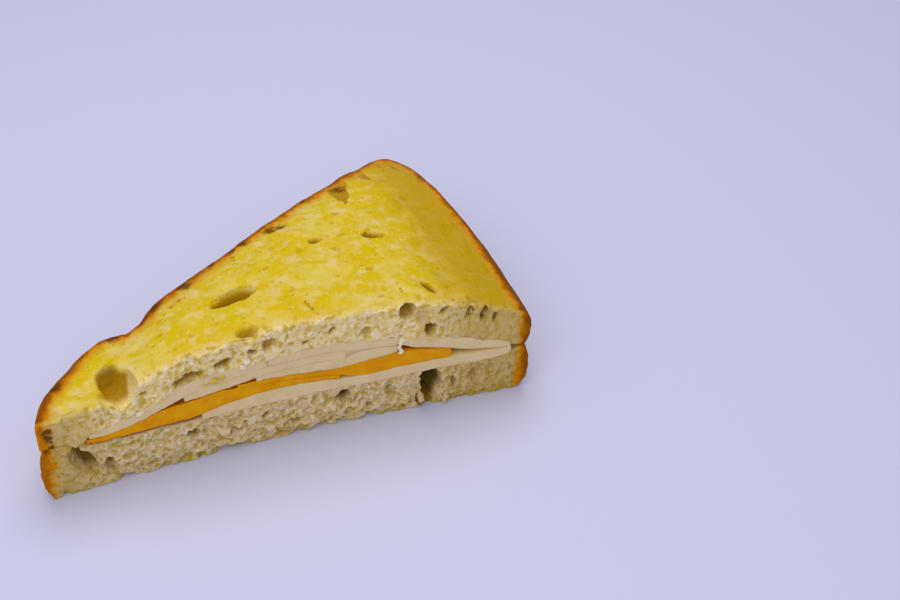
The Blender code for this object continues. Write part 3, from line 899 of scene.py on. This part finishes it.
def makeCheese(name, nodeName, look, material):
    piece = fineSlice(nodeName, name)
    mesh = piece.data
    places, normals = readMesh(mesh)
    seed = cheeseCut["seed"][look]
    strip = places[:, 1] - cadLow.y - cheeseCut["stripFromMm"] * mm
    nearCut = 1 - smoothStep(strip, 0, cheeseCut["stripMm"] * mm)
    flat = places * np.array([1, 0, 0.4])
    rag = noiseAt(flat, 5, seed, 3) + 0.5 * noiseAt(flat, 1.2, seed + 1, 2)
    cutSide = facing(mesh, Vector((0, -1, 0)), 0.5)
    top, under = facing(mesh, Vector((0, 0, 1)), 0.7), facing(mesh, Vector((0, 0, -1)), 0.7)
    moved = places.copy()
    moved[:, 2] += (top.astype(float) - under) * cheeseCut["swellMm"] * mm
    moved[:, 2] += noiseAt(places, 5, cheeseCut["waveSeed"], 2) * cheeseCut["waveMm"] * mm * nearCut
    front = (cutFront(inLoaf(places)[:, 0]) + cheeseCut["backMm"][name] - loaf["originY"]) * mm
    flush = cutSide * nearCut
    moved[:, 1] += (front - moved[:, 1]) * flush + rag * cheeseCut["ragMm"] * mm * nearCut
    last = places[:, 0].max()
    atEnd = smoothStep(places[:, 0], last - cheeseCut["endMm"] * mm, last)
    moved[:, 0] += cheeseCut["endReachMm"].get(name, 0) * mm * atEnd
    if name in cheeseCut["restsOn"]:
        settle(moved, under, cheeseCut["restsOn"][name])
    writePlaces(mesh, np.clip(moved, cadLow, cadHigh))
    # painted shade on the flat faces
    writeAttribute(mesh, "flatSideShade", smoothStep(np.abs(normals[:, 2]), 0.8, 0.97) * 0.8)
    mesh.shade_smooth()
    mesh.set_sharp_from_angle(angle=math.radians(cheeseCut["sharpDegrees"]))
    mesh.materials.clear()
    mesh.materials.append(material)
    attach(piece, "root")
    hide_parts(nodeName)
    print(name, "faces", len(mesh.polygons))


# torn bits that hang on at the cut: place along it and height, three half sizes and lean, in millimetres
# and degrees

tornBits = {
    "paleShreds": {
        "slot": "white_cheese", "finish": "paleShred", "seed": 71, "roughMm": 0.6, "sunkMm": 0.2,
        "bits": [(65.2, 36.4, 1.1, 0.8, 1.3, -20), (63.8, 35.0, 0.9, 0.7, 0.7, 30),
                 (67.0, 35.4, 0.6, 0.5, 0.6, 0), (116.0, 31.9, 1.0, 0.6, 0.7, 30),
                 (115.2, 30.4, 0.6, 0.6, 1.4, 8), (114.8, 28.7, 0.7, 0.6, 1.4, -8),
                 (115.3, 26.9, 0.9, 0.6, 0.8, 20), (31, 26.3, 1.2, 0.7, 0.8, 0)],
    },
    "meltedStrip": {
        "slot": "orange_cheese", "finish": "meltedCheese", "seed": 83, "roughMm": 0.9, "sunkMm": 0.65,
        "bits": [(51.9, 31.1, 1.2, 0.7, 0.5, -14), (54.4, 31.8, 1.5, 0.8, 0.9, -8),
                 (57.0, 32.1, 1.0, 0.7, 0.6, -20)],
    },
    "crumbFlaps": {
        "slot": "bread", "finish": "toastedBottomSlice", "seed": 97, "roughMm": 0.9, "sunkMm": 0.5,
        "bits": [(121.2, 12.5, 1.0, 1.2, 4.6, -8), (122.3, 6.0, 0.9, 1.0, 4.4, -14),
                 (119.8, 9.0, 0.8, 1.0, 4.0, 6), (131.5, 3.0, 1.0, 0.8, 2.2, 20),
                 (99.0, 11.5, 0.5, 0.7, 1.8, 10)],
    },
}


def makeBits(name, settings, material):
    bm = bmesh.new()
    for along, height, halfX, halfY, halfZ, lean in settings["bits"]:
        front = cutFront(along) + settings["sunkMm"]
        place = Vector((along - loaf["originX"], front - loaf["originY"], height)) * mm
        size = Matrix.Diagonal((halfX * mm, halfY * mm, halfZ * mm, 1))
        turned = Matrix.Translation(place) @ Matrix.Rotation(math.radians(lean), 4, "Y") @ size
        bmesh.ops.create_icosphere(bm, subdivisions=4, radius=1, matrix=turned)
    piece = newPiece(name, bm)
    mesh = piece.data
    places, normals = readMesh(mesh)
    rough = noiseAt(places, 1.5, settings["seed"], 4) * settings["roughMm"] * mm
    writePlaces(mesh, np.clip(places + normals * rough[:, None], cadLow, cadHigh))
    # ridge lays some painted highlight on the torn bits
    for label, value in (("gap", 1.0), ("dense", 0.5), ("ridgeHighlight", 0.2)):
        writeAttribute(mesh, label, np.full(len(places), value))
    mesh.shade_smooth()
    mesh.materials.append(material)
    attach(piece, "root")


addCamera()
addStudio()
print("camera and studio stand")

finishes = {name: cheeseMaterial(name) for name in cheeseLooks}
for name, settings in breadSlices.items():
    finishes[name] = breadMaterial(name + "Finish", settings)
    makeBread(name, settings, finishes[name])
print("bread is baked")

for name, (nodeName, look) in cheeseSlices.items():
    makeCheese(name, nodeName, look, finishes[look])
print("cheese is sliced")

for name, settings in tornBits.items():
    makeBits(name, settings, finishes[settings["finish"]])
print("torn bits hang on")
